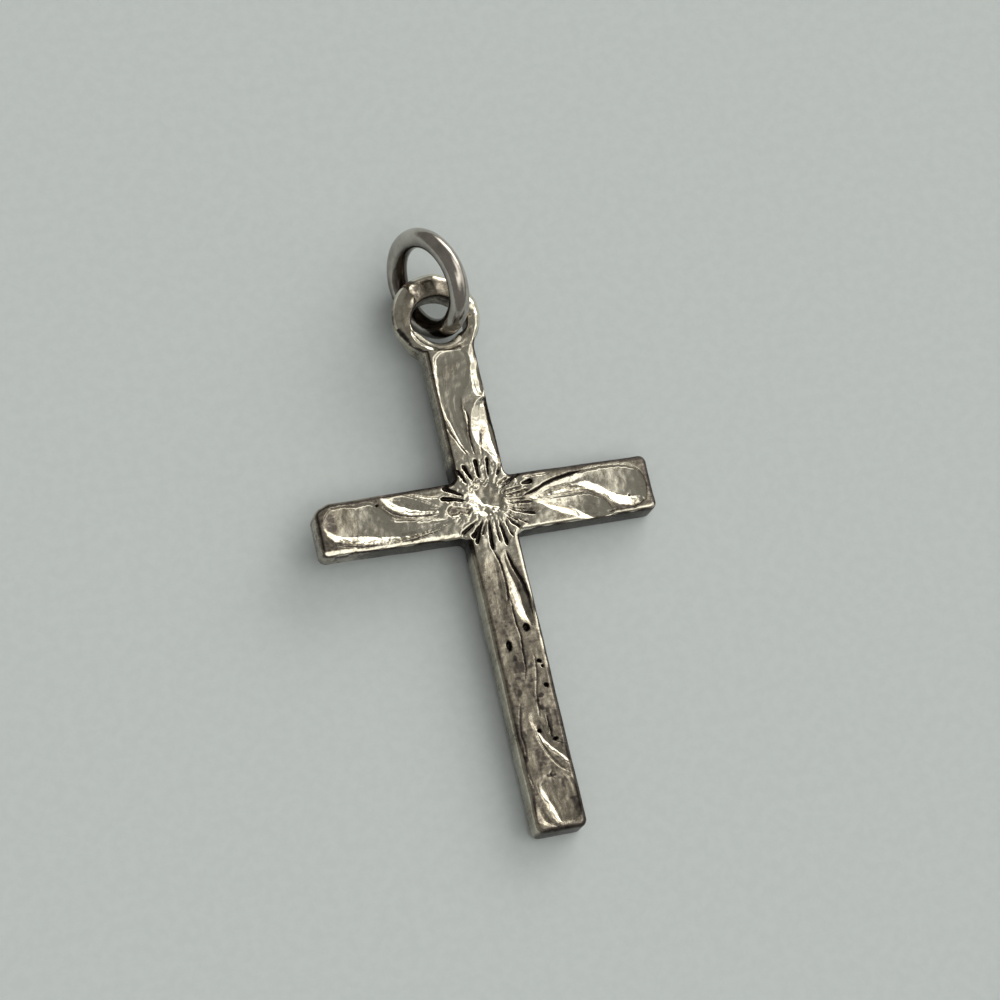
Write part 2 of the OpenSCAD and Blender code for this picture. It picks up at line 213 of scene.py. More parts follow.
# Cuts round the sun. Columns: inner x and y, outer x and y, width
SUN_RAYS = [
    (-0.60, 1.02, -0.90, 1.72, 0.17), (-0.30, 1.10, -0.62, 1.87, 0.18), (-0.05, 1.16, -0.05, 2.06, 0.18),
    (0.34, 1.20, 0.47, 2.07, 0.14), (0.70, 1.20, 0.98, 1.72, 0.15), (-0.84, 0.56, -1.66, 1.03, 0.21),
    (-0.78, 0.36, -1.84, 0.58, 0.20), (-0.62, -0.10, -1.66, 0.00, 0.40), (-0.62, -0.62, -1.30, -1.07, 0.17),
    (-0.48, -0.52, -1.00, -0.88, 0.10), (-0.40, -0.74, -0.88, -1.28, 0.22),
    (-0.32, -0.56, -0.77, -1.56, 0.17), (-0.16, -0.60, -0.46, -1.22, 0.12),
    (-0.04, -0.52, -0.16, -1.92, 0.18), (0.20, -0.60, 0.22, -1.60, 0.10), (0.36, -0.66, 0.50, -1.80, 0.16),
    (0.58, -0.60, 0.80, -1.46, 0.10), (0.66, -0.56, 1.28, -1.22, 0.15), (0.60, -0.38, 1.16, -0.80, 0.10),
    (0.84, 0.82, 1.66, 1.15, 0.16), (0.60, 0.80, 1.10, 1.10, 0.08), (0.66, 0.62, 1.26, 0.90, 0.09),
    (0.74, 0.47, 1.60, 0.62, 0.09), (0.80, 0.34, 1.92, 0.43, 0.11), (0.80, 0.15, 1.62, 0.09, 0.08),
    (0.82, 0.00, 1.94, -0.10, 0.11), (0.80, -0.16, 1.60, -0.36, 0.08), (0.78, -0.24, 1.98, -0.64, 0.12),
    (0.72, -0.34, 1.54, -0.98, 0.09), (1.62, 0.70, 2.16, 0.79, 0.24),
]
RAY_DEPTH = 0.12

# Slope down to the eye's hole. Columns: heading in degrees, width, depth
HOLE_SLOPE = [
    (-172, 0.05, 0.00), (-158, 0.10, 0.05), (-140, 0.16, 0.08), (-124, 0.14, 0.06), (-111, 0.12, 0.05),
    (-99, 0.12, 0.06), (-80, 0.15, 0.07), (-62, 0.20, 0.09), (-46, 0.32, 0.12), (-28, 0.24, 0.08),
    (-5, 0.10, 0.00),
]

# Ridges across the eye that catch the light: heading in degrees, half width in degrees, height
EYE_RIDGES = [(126, 11, 0.11), (84, 10, 0.09), (22, 8, 0.08), (3, 8, 0.07)]

# Casting pits, and stains, which are weaker: middle x and y, half width, half length, strength
PITS = [
    (0.45, -5.25, 0.15, 0.16, 1.0), (-0.44, -5.91, 0.10, 0.19, 1.0), (0.63, -6.73, 0.10, 0.09, 1.0),
    (0.72, -6.94, 0.06, 0.07, 0.8), (0.70, -7.75, 0.10, 0.11, 1.0), (0.41, -8.13, 0.10, 0.09, 0.45),
    (0.21, -8.33, 0.07, 0.06, 0.4), (0.29, -8.63, 0.10, 0.09, 0.45), (0.00, -9.53, 0.09, 0.09, 1.0),
    (0.57, -9.95, 0.12, 0.09, 0.9), (-0.84, -10.58, 0.11, 0.12, 0.5), (-0.95, -11.34, 0.07, 0.10, 0.6),
    (0.05, -11.37, 0.17, 0.06, 0.4), (0.73, -12.41, 0.16, 0.06, 0.2), (6.05, -0.43, 0.05, 0.05, 0.9),
    (-4.45, 0.70, 0.07, 0.06, 0.9), (-0.30, -6.45, 0.07, 0.10, 0.4), (-0.38, -7.30, 0.10, 0.06, 0.2),
    (-0.52, -7.85, 0.14, 0.16, 0.15), (-0.10, -6.85, 0.10, 0.22, 0.2), (0.20, -7.40, 0.16, 0.12, 0.15),
    (-0.20, -10.60, 0.20, 0.50, 0.12), (-0.45, -11.60, 0.20, 0.30, 0.12), (0.50, -9.20, 0.10, 0.50, 0.25),
    (0.62, -10.80, 0.20, 0.10, 0.15), (-0.55, -4.20, 0.20, 0.40, 0.12), (-0.20, -4.90, 0.20, 0.30, 0.12),
    (-0.60, -3.30, 0.20, 0.35, 0.12), (0.52, 2.70, 0.12, 0.40, 0.35), (0.66, 3.30, 0.10, 0.26, 0.25),
    (0.92, 4.78, 0.16, 0.10, 0.45), (-6.42, 0.10, 0.24, 0.60, 0.26), (-3.40, -0.62, 0.30, 0.07, 0.3),
    (-4.80, -0.74, 0.40, 0.05, 0.25), (3.20, 0.42, 0.50, 0.05, 0.35), (1.85, -0.46, 0.30, 0.10, 0.5),
    (1.30, -0.95, 0.16, 0.10, 0.4), (-2.10, 0.82, 0.40, 0.07, 0.3),
]
PIT_DEPTH, PIT_LEAST = 0.15, 0.7

# Slope of the bevels worn along the lower edges of the side arms, and along the right edge of the lower arm
SIDE_BEVEL, LOWER_BEVEL = 0.45, 0.344

# Below 0 the metal is bare and is made bright and rough, so it reads light from every side: partly polish, partly
# a painted highlight.
BARE_AND_SHEEN = -0.6  # dirt of metal that is polished bare


def through(at, places, values):
    """Smooth curve through the values at these places."""
    places, values = np.array(places), np.array(values)
    slope = np.gradient(values, places)
    i = np.clip(np.searchsorted(places, at) - 1, 0, len(places) - 2)
    step = places[i + 1] - places[i]
    t = np.clip((at - places[i]) / step, 0, 1)
    return (values[i] * (1 + 2 * t) * (1 - t) ** 2 + values[i + 1] * t * t * (3 - 2 * t)
            + step * (slope[i] * t * (1 - t) ** 2 - slope[i + 1] * t * t * (1 - t)))


def leaf_cut(along, across, rows):
    """Depth of one leaf cut at each point, how far each is from wall to ridge, and whether it is on the ramp."""
    places = [row[0] for row in rows]
    wall, wall_w, ridge, ramp_w, depth = (through(along, places, column) for column in list(zip(*rows))[1:])
    wide = np.maximum(np.abs(ridge - wall), 0.01)
    past = (across - wall) * np.sign(ridge - wall)
    steep = np.clip(past / np.minimum(wall_w, wide * 0.45), 0, 1)
    ramp = np.clip((wide - past) / np.minimum(ramp_w, wide * 0.9), 0, 1)
    inside = (along > places[0]) & (along < places[-1])
    fall = np.clip((past - wall_w) / np.maximum(wide - wall_w - ramp_w, 0.1), 0, 1)
    cut = np.maximum(depth, 0) * smooth(0, 1, steep) * (0.6 + 0.4 * fall) * (1 - (1 - ramp) ** 1.25)
    return np.where(inside, cut, 0), past / wide, inside & (past > 0) & (ramp > 0.03) & (ramp < 0.97)


def line_cut(along, across, width, points):
    """Share of a graver line's depth at each point; the line tapers at its ends."""
    places, middle = zip(*points)
    t = np.clip((along - places[0]) / (places[-1] - places[0]), 0, 1)
    half = width / 2 * np.sqrt(np.clip(6 * t, 0, 1) * np.clip(5 * (1 - t), 0, 1)) + 1e-4
    groove = np.clip(1 - np.abs(across - through(along, places, middle)) / half, 0, 1)
    return np.where((t > 0) & (t < 1), groove * half * 2 / width, 0)


def cut_arms(x, y, uneven):
    """Depth of the leaves and lines, dirt in the lines, place along the strokes, and what is ramp or burr."""
    depth, lines, on_ramp, burrs = (np.zeros_like(x) for _ in range(4))
    stroke = np.stack((x, y * 6), axis=1)
    for leaves, cuts, along, across in ((RIGHT_LEAVES, RIGHT_LINES, x, y), (LEFT_LEAVES, LEFT_LINES, -x, y),
                                        (UPPER_LEAVES, UPPER_LINES, y, x), (LOWER_LEAVES, LOWER_LINES, -y, x)):
        for number, rows in enumerate(leaves):
            cut, t, ramp = leaf_cut(along, across + uneven * 0.03, rows)
            deeper = cut > depth
            on_ramp = np.where(deeper, ramp, on_ramp)
            depth = np.where(deeper, cut, depth)
            stroke[deeper] = np.stack((along, t * 9 + 20 * number), axis=1)[deeper]
        for width, deep, dirty, points in cuts:
            groove = line_cut(along, across + uneven * 0.02, width, points)
            depth = depth + deep * groove
            lines = np.maximum(lines, dirty * smooth(0.05, 0.5, groove))
            burrs = np.maximum(burrs, (deep < 0) * smooth(0.0, 0.4, groove))
    return depth, lines, stroke, on_ramp, burrs


def cut_sun(x, y, uneven, depth):
    """Depth with the hollow sun and its rays cut in, distance from the sun's middle, and dirt in the rays."""
    sun_x, sun_y = x - SUN[0], y - SUN[1]
    from_sun = np.hypot(sun_x, sun_y) * (1 + 0.22 * uneven)
    lean = -(sun_x + sun_y) / sqrt(2) / np.maximum(from_sun, 0.01)
    ramp = 0.14 + 0.40 * smooth(-0.3, 0.8, lean)
    depth = np.maximum(depth, SUN_DEPTH * np.clip((SUN_R - from_sun) / ramp, 0, 1))
    rays, dirt = np.zeros_like(x), np.zeros_like(x)
    for x0, y0, x1, y1, wide in SUN_RAYS:
        length = np.hypot(x1 - x0, y1 - y0)
        c, s = (x1 - x0) / length, (y1 - y0) / length
        out, off = (x - x0) * c + (y - y0) * s, (y - y0) * c - (x - x0) * s
        t = np.clip(out / length, 0, 1)
        half = wide / 2 * (0.75 + 0.55 * t) * np.sqrt(np.clip(5 * t, 0, 1) * np.clip(7 * (1 - t), 0, 1)) + 1e-4
        off = off + 0.025 * uneven
        ray = np.maximum(1 - (np.abs(off) / half) ** 1.3, 0) * (half / wide * 2) * (0.6 + 2.4 * min(wide, 0.2))
        ray = np.where((out > 0) & (out < length), ray, 0)
        rays = np.maximum(rays, ray)
        dirty = 0.8 if wide < 0.13 else 1.25 if wide < 0.3 else 0.5
        dirt = np.maximum(dirt, smooth(0.05, 0.4, ray) * dirty)
    around = np.arctan2(sun_y, sun_x)
    ridges = 0.016 * np.cos(21 * around + 4 * uneven) * smooth(0.6, 0.8, from_sun) * smooth(2.0, 1.3, from_sun)
    return depth * (1 - 0.5 * np.clip(rays, 0, 1)) + RAY_DEPTH * rays + ridges, from_sun, dirt


def hole_slope(off_hole, heading):
    """Depth of the slope down to the eye's hole, from the distance and heading from its middle."""
    places, width, fall = zip(*HOLE_SLOPE)
    slope = 1 - (off_hole - HOLE_R - HOLE_EDGE_R) / np.maximum(through(heading, places, width), 0.02)
    below = (heading > places[0]) & (heading < places[-1])
    return np.where(below, through(heading, places, fall) * np.clip(slope, 0, 1), 0)


def worn_bevels(x, y, uneven):
    """Depth of the bevels worn along the lower edges of the side arms and the right edge of the lower arm."""
    worn = np.where(x < 0, blend(0.98, 0.88, (-x - 1) / 6), 1.06) - 0.03 * uneven
    sides = SIDE_BEVEL * (-y - worn) * (np.abs(x) > 1.35) * (np.abs(y) < 2)
    return np.maximum(sides, LOWER_BEVEL * (x - HALF_LOWER[0] - 0.02) * (y < -1.3) * (x > 0))


def face_dirt(x, y, depth, bevel, from_sun, on_ramp):
    """How dirty the face is beside its lines, rays and pits: most on the land that is left uncut."""
    land = 1 - smooth(0.005, 0.035, depth)
    dirt = land * np.maximum.reduce([
        0.60 * smooth(2.3, 3.8, np.abs(x)),
        0.5 * smooth(2.4, 3.4, y) * (x < 0) * (y < 6.5),
        0.55 * smooth(9.0, 9.5, y),
        0.30 * smooth(7.3, 7.8, y) * smooth(-0.6, -1.2, x),
    ])
    dirt = np.maximum.reduce([
        dirt,
        0.48 * smooth(1.6, 3.0, -y),
        0.36 * smooth(1.0, 0.0, np.hypot(x - 1.5, y - 0.2)),
        0.12 * smooth(0.75, 0.45, from_sun),
        0.34 * smooth(-4.9, -5.8, x) * smooth(-0.5, 0.1, y),
    ])
    return dirt * (1 - smooth(0.0, 0.02, bevel)) * (1 - 0.85 * on_ramp * smooth(0.045, 0.07, depth))


def add_pits(x, y, uneven, depth, dirt):
    """Depth and dirt with the casting pits and the stains added."""
    for px, py, half_w, half_l, strength in PITS:
        off = np.hypot((x - px) / half_w, (y - py) / half_l) * (1 + 0.35 * uneven)
        stain = strength * (1 - smooth(0.75, 1.35, off))
        if strength > PIT_LEAST:
            depth = depth + PIT_DEPTH * (1 - smooth(0.4, 0.95, off)) * strength
            dirt = dirt + np.maximum(1.5 * stain - dirt, 0)
        else:
            dirt = dirt + 1.3 * stain
    return depth, dirt


def engraving(x, y, uneven):
    """Depth of all that is cut into the face, how dirty each point is, its place along the strokes, the ramps."""
    depth, lines, stroke, on_ramp, burrs = cut_arms(x, y, uneven)
    depth, from_sun, ray_dirt = cut_sun(x, y, uneven, depth)
    off_hole, heading = np.hypot(x - EYE.x, y - EYE.y), np.degrees(np.arctan2(y - EYE.y, x - EYE.x))
    bevel = worn_bevels(x, y, uneven)
    depth = np.maximum.reduce([depth, hole_slope(off_hole, heading), bevel])
    dirt = face_dirt(x, y, depth, bevel, from_sun, on_ramp)
    dirt = np.maximum.reduce([dirt, lines, ray_dirt]) * (1 - burrs)
    # The lower part of the hole's rim on the face is bare: partly polish, partly a painted highlight.
    rim = smooth(1.75, 1.45, off_hole) * smooth(-165, -150, heading) * smooth(-45, -60, heading)
    depth, dirt = add_pits(x, y, uneven, depth, blend(dirt, BARE_AND_SHEEN, rim))
    return depth, dirt, stroke, on_ramp


# ---------------------------------------------------------------- cross

NOOK_FACE_R = NOOK_R + FACE_EDGE_R
NOOK_IN = NOOK_FACE_R * (1 - sqrt(0.5))
TIP_FACE_R = CORNER_R - FACE_EDGE_R
SHOULDER_FACE_R = EYE_OUTER_R - FACE_EDGE_R
ACROSS_H = round(2 * HALF_RIGHT[0] / FACE_CELL)
ACROSS_V = round(2 * HALF_HEAD / FACE_CELL)


def grid_patch(bm, cells_u, cells_v, place):
    """Grid of faces whose u and v run from -1 to 1, laid where place(u, v) says."""
    for vert in bmesh.ops.create_grid(bm, x_segments=cells_u, y_segments=cells_v, size=1)["verts"]:
        vert.co = (*place(vert.co.x, vert.co.y), THICK)


def nook_width(past):
    """How much a nook's fillet widens the face at this distance past the other arm's side."""
    return NOOK_FACE_R - sqrt(max(NOOK_FACE_R ** 2 - max(NOOK_FACE_R - past, 0) ** 2, 0))


def round_tip(s, t, far, half):
    """Rounds the two corners at an arm's end."""
    over_s, over_t = s - (far - TIP_FACE_R), abs(t) - (half - TIP_FACE_R)
    if over_s <= 0 or over_t <= 0:
        return s, t
    pull = max(over_s, over_t) / sqrt(over_s ** 2 + over_t ** 2)
    return far - TIP_FACE_R + over_s * pull, (1 if t > 0 else -1) * (half - TIP_FACE_R + over_t * pull)


def straight_arm(far, half, beside_left, beside_right):
    """Place of a grid's points on an arm that ends square: distance along it and to its left."""
    def place(u, v):
        w = (u + 1) / 2
        start = blend(beside_right, beside_left, (v + 1) / 2) + NOOK_IN
        beside = beside_left if v > 0 else beside_right
        at_side = blend(beside + NOOK_IN, far, w)
        wide = blend(half[0], half[1], (at_side - beside) / (far - beside)) + nook_width(at_side - beside)
        return round_tip(blend(start, far, w), v * wide, far, half[1])
    return place


def shoulder(half, fillet, side):
    """Fillet between one side of the upper arm and the eye: its middle, where it meets the eye, its radius."""
    mid_x = side * (half + fillet)
    reach = SHOULDER_FACE_R + fillet
    mid = Vector((mid_x, EYE_MID.y - sqrt(reach ** 2 - (mid_x - EYE_MID.x) ** 2)))
    return mid, EYE_MID + (mid - EYE_MID) * (SHOULDER_FACE_R / reach), fillet


SHOULDERS = {1: shoulder(HALF_HEAD, RIGHT_SHOULDER_R + FACE_EDGE_R, 1),
             -1: shoulder(HALF_HEAD, LEFT_SHOULDER_R + FACE_EDGE_R, -1)}


def from_hole(place):
    """Distance and heading from the middle of the eye's hole."""
    return (place - EYE).length, atan2(place.y - EYE.y, place.x - EYE.x)


RIGHT_MEET, LEFT_MEET = (from_hole(SHOULDERS[side][1]) for side in (1, -1))


def arm_end(v):
    """Where the upper arm's face meets the eye's, from -1 at its right side to 1 at its left."""
    r, heading = (blend(a, b, (v + 1) / 2) for a, b in zip(RIGHT_MEET, LEFT_MEET))
    r -= 0.04 * min((1 - abs(v)) / 0.1, 1)  # stays inside the shoulders' fillets
    return EYE + r * Vector((cos(heading), sin(heading)))


def upper_arm(u, v):
    """Place of a grid's points on the upper arm, which widens into the eye."""
    w = (u + 1) / 2
    beside = HALF_LEFT[0] if v > 0 else HALF_RIGHT[0]
    start = blend(HALF_RIGHT[0], HALF_LEFT[0], (v + 1) / 2) + NOOK_IN
    mid, meet, fillet = SHOULDERS[-1 if v > 0 else 1]
    at_side = blend(beside + NOOK_IN, meet.y, w)
    wide = HALF_HEAD + nook_width(at_side - beside)
    if at_side > mid.y:
        wide = abs(mid.x) - sqrt(max(fillet ** 2 - (at_side - mid.y) ** 2, 0))
    end = arm_end(v)
    return blend(start, end.y, w), v * wide - (end.x + v * abs(meet.x)) * w ** 6


def crossing(u, v):
    """Place of a grid's points on the square where the arms cross."""
    return (u * (blend(HALF_LOWER[0], HALF_HEAD, (v + 1) / 2) + NOOK_IN),
            v * (blend(HALF_LEFT[0], HALF_RIGHT[0], (u + 1) / 2) + NOOK_IN))


def eye_edge(heading):
    """Reach of the rounding round the eye: least at the shoulders, full further round."""
    past = np.minimum((heading - RIGHT_MEET[1]) % (2 * pi), (LEFT_MEET[1] - heading) % (2 * pi))
    past = np.where(past > pi, 0, past)
    return blend(FACE_EDGE_R, EYE_EDGE_R, smooth(0, radians(70), past))


def eye_face(round_eye):
    """Place of a grid's points on the eye's top face: u goes round it and v out across it."""
    def place(u, v):
        i = round((u + 1) / 2 * round_eye)
        if i <= ACROSS_V:  # beside the upper arm's end, point for point
            outer, heading = from_hole(arm_end(1 - 2 * i / ACROSS_V))
        else:
            t = (i - ACROSS_V) / (round_eye - ACROSS_V)
            heading = blend(RIGHT_MEET[1], LEFT_MEET[1] + 2 * pi, t)
            r = EYE_OUTER_R - eye_edge(heading)
            outer = EYE_SHIFT * sin(heading) + sqrt(r ** 2 - (EYE_SHIFT * cos(heading)) ** 2)
        r = blend(HOLE_R + HOLE_EDGE_R, outer, (v + 1) / 2)
        return EYE.x + r * cos(heading), EYE.y + r * sin(heading)
    return place


def turned(place, quarter_turns):
    """The same places, turned about the crossing."""
    c, s = ((1, 0), (0, 1), (-1, 0), (0, -1))[quarter_turns]

    def turn(u, v):
        x, y = place(u, v)
        return c * x - s * y, s * x + c * y
    return turn


def face_plate(bm):
    """The whole engraved face, still flat, inside the rounding of its edges."""
    far_side, far_foot, to_eye = SIDE_L - FACE_EDGE_R, FOOT_L - FACE_EDGE_R, 6.6
    right = straight_arm(far_side, HALF_RIGHT, HALF_HEAD, HALF_LOWER[0])
    left = straight_arm(far_side, HALF_LEFT, HALF_LOWER[0], HALF_HEAD)
    lower = straight_arm(far_foot, HALF_LOWER, HALF_RIGHT[0], HALF_LEFT[0])
    grid_patch(bm, ACROSS_V, ACROSS_H, crossing)
    grid_patch(bm, round((far_side - HALF_HEAD) / FACE_CELL), ACROSS_H, right)
    grid_patch(bm, round((to_eye - HALF_RIGHT[0]) / FACE_CELL), ACROSS_V, turned(upper_arm, 1))
    grid_patch(bm, round((far_side - HALF_HEAD) / FACE_CELL), ACROSS_H, turned(left, 2))
    grid_patch(bm, round((far_foot - HALF_RIGHT[0]) / FACE_CELL), ACROSS_V, turned(lower, 3))
    round_eye = ACROSS_V + round(1.5 * pi * EYE_OUTER_R / FACE_CELL)
    grid_patch(bm, round_eye, EYE_CELLS, eye_face(round_eye))
    bmesh.ops.remove_doubles(bm, verts=bm.verts, dist=MERGE)
    bmesh.ops.recalc_face_normals(bm, faces=bm.faces)


def arm_share(x, y):
    """How much of the arm's section, rather than the eye's, each place has, from 0 to 1."""
    off = np.abs(np.arctan2(x - EYE.x, EYE.y - y))
    far = smooth(2.35, 3.0, np.hypot(x - EYE.x, y - EYE.y))
    return np.maximum(1 - smooth(radians(38), radians(92), off), far)


def plain_height(x, y):
    """Height of the face before it is engraved."""
    return blend(EYE_TOP, THICK, arm_share(x, y))


def straight_steps(edge_r, top, bottom, fall=None):
    """Outward reach and height of each step over a rounded edge, down a straight side and under."""
    fall = fall or edge_r
    steps = [(edge_r * sin(t), top - fall * (1 - cos(t))) for t in np.linspace(0, pi / 2, TURN_STEPS + 1)[1:]]
    steps += [(edge_r, blend(top - fall, bottom + BACK_EDGE_R, t)) for t in (0.5, 1)]
    return steps + [(edge_r - BACK_EDGE_R * (1 - cos(t)), bottom + BACK_EDGE_R * (1 - sin(t)))
                    for t in np.linspace(0, pi / 2, TURN_STEPS - 1)[1:]]


def round_steps(edge_r, top, bottom):
    """The same for a side that is round from top to bottom."""
    return [(edge_r * sin(t), (top + bottom) / 2 + (top - bottom) / 2 * cos(t))
            for t in np.linspace(0, pi, 2 * TURN_STEPS + 1)[1:]]


def edge_tarnish_and_painted_light(place, out, in_hole):
    """How far over its rounding an edge is free of dirt and lit, in quarter turns, the dirt and painted shade
    below that, the share of it on the side, and the dirt above, which on the hole's lower rim is bare metal
    standing for a painted highlight. Which way an edge faces sets these, so they are partly painted light."""
    heading = degrees(from_hole(place.xy)[1])
    if in_hole:
        # In the hole: the lower rim is bare metal as a painted highlight, and the rest of the wall is darker.
        return (0.65, 1.0, 1, BARE_AND_SHEEN) if -165 < heading < -45 else (0.25, 1.4, 0.5, 0)
    share = float(arm_share(place.x, place.y))
    ragged = 1 + 0.9 * noise.noise(place * 1.6)
    # Edges facing -y, and those facing +x on the lower arm, stay bright over more of their rounding: painted
    # highlight lines.
    clean_and_lit = min(0.62 * ragged, 0.8) * smooth(0.2, 0.7, -out.y) * smooth(-12, -11, place.y)
    clean_and_lit += 0.42 * max(out.x, 0) * smooth(4, 3, place.x) * smooth(-9.5, -4.0, place.y) * ragged
    # Left-facing sides of the lower arm get less dirt: painted lighter.
    side = 1 - 0.55 * smooth(0.5, 1.0, -out.x) * smooth(-5, -3, place.x)
    patchy = 1 + 1.6 * noise.noise(place * 0.9 + Vector((3, 0, 0)))
    dirty = 1.1 - 0.5 * max(-out.x, 0) * patchy * smooth(2, 0, place.y) * smooth(-5, -3, place.x)
    # Nooks between the arms are darkened: painted shade.
    nook = smooth(1.5, 0.4, np.hypot(abs(place.x) - 1.1, abs(place.y) - 1.2))
    dirty, side = max(float(dirty), 1.35 * float(nook)), float(max(side, nook))
    # On the eye, the rounding stays bright where its ridges meet the light (a painted highlight) and is darkened
    # on its lower left (painted shade).
    lit = max(float(smooth(26, 16, abs(heading - at))) for at in (120, 74, 8))
    low = float(smooth(-112, -122, heading) * smooth(-192, -176, heading))
    clean_and_lit = blend(0.62 + 0.2 * lit - 0.2 * low, float(clean_and_lit), share)
    return clean_and_lit, blend(blend(0.7, 1.4, low), dirty, share), side * (1 - 0.5 * low), 0


def side_steps(place, in_hole):
    """Steps from one point of the face's edge: those of an arm, of the eye, or of the hole with its low lip."""
    share = float(arm_share(place.x, place.y))
    if in_hole:
        heading = degrees(from_hole(place.xy)[1])
        lip = float(smooth(-178, -150, heading) * smooth(-15, -45, heading))
        return straight_steps(HOLE_EDGE_R + LIP * lip, blend(EYE_TOP, THICK, share), blend(EYE_BACK, 0, share),
                              HOLE_EDGE_R + LIP_FALL * lip)
    arm = straight_steps(FACE_EDGE_R, THICK, 0)
    eye = round_steps(float(eye_edge(from_hole(place.xy)[1])), EYE_TOP, EYE_BACK)
    return [(blend(a, b, share), blend(c, d, share)) for (a, c), (b, d) in zip(eye, arm)]


def rim_directions(rim):
    """Outward direction in plan at each point of the open edges."""
    out = {}
    for edge in rim:
        a, b = (vert.co for vert in edge.verts)
        side = Vector((b.y - a.y, a.x - b.x, 0)).normalized()
        if side.dot(edge.link_faces[0].calc_center_median() - (a + b) / 2) > 0:
            side.negate()
        for vert in edge.verts:
            out[vert] = out.get(vert, Vector()) + side
    return {vert: side.normalized() for vert, side in out.items()}


def draw_sides(bm, dirt):
    """Draws the open edges over the face's rounding, down the side and round to the back."""
    rim = [edge for edge in bm.edges if edge.is_boundary]
    base = {}
    for vert, out in rim_directions(rim).items():
        in_hole = (vert.co.xy - EYE).length < HOLE_R + HOLE_EDGE_R + 0.01
        base[vert] = (vert.co.copy(), out, side_steps(vert.co, in_hole), edge_tarnish_and_painted_light(vert.co, out, in_hole))
    for i in range(2 * TURN_STEPS):
        made = bmesh.ops.extrude_edge_only(bm, edges=rim)["geom"]
        rim = [part for part in made if isinstance(part, bmesh.types.BMEdge) and part.is_boundary]
        drawn = {}
        for vert in (part for part in made if isinstance(part, bmesh.types.BMVert)):
            old = next(e.other_vert(vert) for e in vert.link_edges if e.other_vert(vert) in base)
            place, out, steps, (clean_and_lit, below, side, above) = base[old]
            vert.co = place + out * steps[i][0]
            vert.co.z = steps[i][1]
            # Dirt and painted light go into the layer: bright over the lit reach, and darker with painted shade
            # below it.
            turn = (i + 1) / TURN_STEPS
            soil_and_painted_light = float(smooth(clean_and_lit - 0.12, clean_and_lit + 0.12, turn))
            vert[dirt] = blend(above, below * (side if turn > clean_and_lit + 0.3 else 1), soil_and_painted_light)
            drawn[vert] = base[old]
        base = drawn
    bmesh.ops.triangle_fill(bm, use_beauty=True, edges=rim, normal=(0, 0, -1))


def eye_ridges(x, y):
    """Height of the ridges that run out across the eye's face and its rounding."""
    heading = np.degrees(np.arctan2(y - EYE.y, x - EYE.x))
    reach = smooth(HOLE_R + 0.05, HOLE_R + 0.35, np.hypot(x - EYE.x, y - EYE.y))
    return reach * sum(tall * np.exp(-((heading - at) / half) ** 2) for at, half, tall in EYE_RIDGES)


def hammered(co, size, amount):
    """Soft unevenness of cast and polished metal."""
    return noise.noise(Vector(co) / size) * amount


def cross_mesh():
    """The whole cross, flat, with its dirt and painted light, and its strokes, as layers."""
    bm = bmesh.new()
    dirt_and_painted_light_layer = bm.verts.layers.float.new("dirt")
    stroke_layer = bm.verts.layers.float_vector.new("stroke")
    face_plate(bm)
    on_face = set(bm.verts)
    draw_sides(bm, dirt_and_painted_light_layer)
    bmesh.ops.recalc_face_normals(bm, faces=bm.faces)
    co = np.array([vert.co for vert in bm.verts])
    is_face = np.array([vert in on_face for vert in bm.verts])
    uneven = np.array([noise.noise(vert.co * 4) + 0.6 * noise.noise(vert.co * 11) for vert in bm.verts])
    depth, dirt, stroke, on_ramp = engraving(co[:, 0], co[:, 1], uneven)
    top = plain_height(co[:, 0], co[:, 1]) - depth
    ridges = eye_ridges(co[:, 0], co[:, 1])
    height = np.where(is_face, top, np.where(co[:, 2] > THICK / 2, np.minimum(co[:, 2], top), co[:, 2]))
    for i, vert in enumerate(bm.verts):
        x, y, z = vert.co.x, vert.co.y, height[i]
        low = smooth(0.0, 0.3, z)
        worn = 0.22 * smooth(-6.3, -7.1, x) * smooth(0.2, 1.1, y)
        vert.co.x = x + hammered((x, y, z + 5), 1.3, 0.022)
        vert.co.y = y + hammered((x + 9, y, z), 1.3, 0.022) - worn
        vert.co.z = z + low * (hammered((x, y, 0), 0.9, 0.016) + hammered((x, y, 3), 0.28, 0.004) + ridges[i])
        vert[stroke_layer] = (*stroke[i], 0)
        if is_face[i]:
            strokes = hammered((stroke[i][0] * 0.7, stroke[i][1] * 0.7, 7), 1, 0.009)
            middle = float(smooth(2.6, 1.5, np.hypot(x, y)))
            aslant = (x * 0.8 + y * 0.6, y * 0.8 - x * 0.6, x * 0.5 + 4)
            vert.co.z += strokes * min(depth[i] / 0.08, 1) + hammered(aslant, 0.24, 0.0040 + 0.006 * middle)
            blotch = noise.noise((x * 3.2, y * 1.1, 2)) + 0.7 * noise.noise((x * 8, y * 4, 5))
            most = blend(0.10, 0.26, float(smooth(-1.8, -3.6, y)))
            grime = float(smooth(-0.1, 0.7, blotch)) * most * (1 - on_ramp[i])
            vert[dirt_and_painted_light_layer] = max(float(dirt[i]), vert[dirt_and_painted_light_layer]) + grime
    for face in bm.faces:
        face.smooth = True
    return bm


def as_piece(name, bm, place, material):
    """The finished mesh, laid in its place and in metres, as an object at the origin."""
    mesh = bpy.data.meshes.new(name)
    bm.to_mesh(mesh)
    bm.free()
    mesh.transform(Matrix.Scale(MM, 4) @ place)
    mesh.materials.append(material)
    piece = bpy.data.objects.new(name, mesh)
    bpy.context.scene.collection.objects.link(piece)
    return piece


# ---------------------------------------------------------------- jump ring

